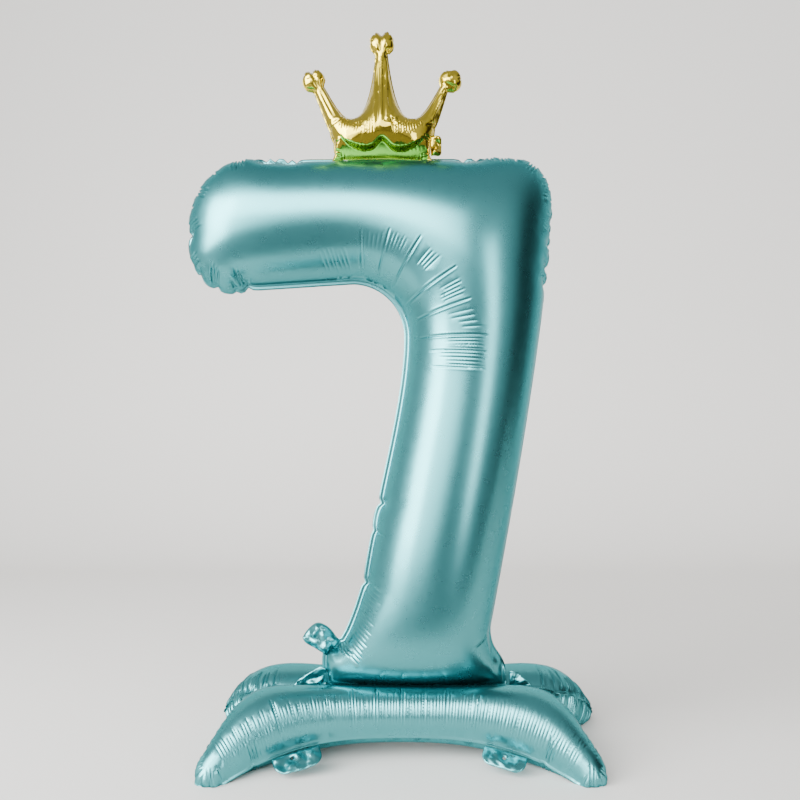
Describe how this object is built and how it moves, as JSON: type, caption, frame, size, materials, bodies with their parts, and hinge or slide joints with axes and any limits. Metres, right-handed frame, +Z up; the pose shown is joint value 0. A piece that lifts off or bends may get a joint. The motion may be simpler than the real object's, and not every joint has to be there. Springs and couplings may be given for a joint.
{
  "type": "foil number balloon",
  "caption": "Air-filled free-standing foil balloon in the shape of a digit, on a base of two inflated arches, with a small inflated crown on top.",
  "frame": {"origin": "on the ground under the middle of the balloon's bounding box", "axes": "+Z up, +X to the right of someone who faces the digit, who stands on the -Y side"},
  "size_m": [0.5598, 0.2502, 0.9375],
  "materials": {
    "foil_teal": "satin teal-blue aluminised film, soft metallic sheen, finely crimped along every seam",
    "foil_weld": "satin teal-blue aluminised film, two or more layers welded flat",
    "foil_gold": "mirror-gold aluminised film",
    "valve_film": "clear, slightly milky thin film",
    "glue_dot": "clear soft adhesive"
  },
  "bodies": {
    "front_arch": {"foot_weld": "foil_weld", "weld_gusset_left": "foil_weld", "weld_gusset_right": "foil_weld", "front_arch_upper_sheet": "foil_teal", "front_arch_lower_sheet": "foil_teal", "front_arch_valve_front_film": "valve_film", "front_arch_valve_back_film": "valve_film"},
    "rear_arch": {"rear_arch_upper_sheet": "foil_teal", "rear_arch_lower_sheet": "foil_teal", "rear_arch_valve_front_film": "valve_film", "rear_arch_valve_back_film": "valve_film"},
    "digit": {"digit_front_sheet": "foil_teal", "digit_back_sheet": "foil_teal", "digit_valve_front_film": "valve_film", "digit_valve_back_film": "valve_film", "crown_glue_dot_left": "glue_dot", "crown_glue_dot_right": "glue_dot"},
    "crown": {"crown_front_sheet": "foil_gold", "crown_back_sheet": "foil_gold", "crown_valve_front_film": "valve_film", "crown_valve_back_film": "valve_film"},
    "digit_tail": {"digit_inflation_tail": "foil_teal"},
    "crown_tail": {"crown_inflation_tail": "foil_gold"},
    "front_arch_inflation_tab": {"front_arch_inflation_tab": "foil_teal"},
    "front_arch_hang_tab": {"front_arch_hang_tab": "foil_teal"},
    "rear_arch_inflation_tab": {"rear_arch_inflation_tab": "foil_teal"},
    "rear_arch_hang_tab": {"rear_arch_hang_tab": "foil_teal"}
  },
  "joints": [
    {"name": "digit_lean", "type": "hinge", "parent": "front_arch", "child": "digit", "pos_m": [0, 0, 0.084], "axis": [1, 0, 0], "range_deg": [-3, 1.5], "stiffness_Nm_per_rad": 3},
    {"name": "rear_arch_splay", "type": "hinge", "parent": "front_arch", "child": "rear_arch", "pos_m": [0, 0, 0.084], "axis": [1, 0, 0], "range_deg": [-3, 5], "stiffness_Nm_per_rad": 4},
    {"name": "crown_nod", "type": "hinge", "parent": "digit", "child": "crown", "pos_m": [-0.0279, -0.0041, 0.7808], "axis": [1, 0, 0], "range_deg": [-4, 6], "stiffness_Nm_per_rad": 0.05},
    {"name": "digit_tail_flap", "type": "hinge", "parent": "digit", "child": "digit_tail", "pos_m": [-0.10639, 0, 0.133], "axis": [0.5299, 0, 0.848], "range_deg": [-25, 10], "stiffness_Nm_per_rad": 0.002},
    {"name": "crown_tail_flap", "type": "hinge", "parent": "crown", "child": "crown_tail", "pos_m": [0.04111, -0.0041, 0.7975], "axis": [0, 0, 1], "range_deg": [-10, 30], "stiffness_Nm_per_rad": 0.0002},
    {"name": "front_inflation_tab_flap", "type": "hinge", "parent": "front_arch", "child": "front_arch_inflation_tab", "pos_m": [-0.13789, -0.09413, 0.02287], "axis": [-0.9553, -0.248, -0.1611], "range_deg": [-15, 15], "stiffness_Nm_per_rad": 0.002},
    {"name": "front_hang_tab_flap", "type": "hinge", "parent": "front_arch", "child": "front_arch_hang_tab", "pos_m": [0.13011, -0.09413, 0.02287], "axis": [-0.9553, 0.248, 0.1611], "range_deg": [-15, 15], "stiffness_Nm_per_rad": 0.002},
    {"name": "rear_inflation_tab_flap", "type": "hinge", "parent": "rear_arch", "child": "rear_arch_inflation_tab", "pos_m": [0.14111, 0.09138, 0.02466], "axis": [0.9677, 0.2115, -0.1373], "range_deg": [-15, 15], "stiffness_Nm_per_rad": 0.002},
    {"name": "rear_hang_tab_flap", "type": "hinge", "parent": "rear_arch", "child": "rear_arch_hang_tab", "pos_m": [-0.12689, 0.09138, 0.02466], "axis": [0.9677, -0.2115, 0.1373], "range_deg": [-15, 15], "stiffness_Nm_per_rad": 0.002}
  ]
}
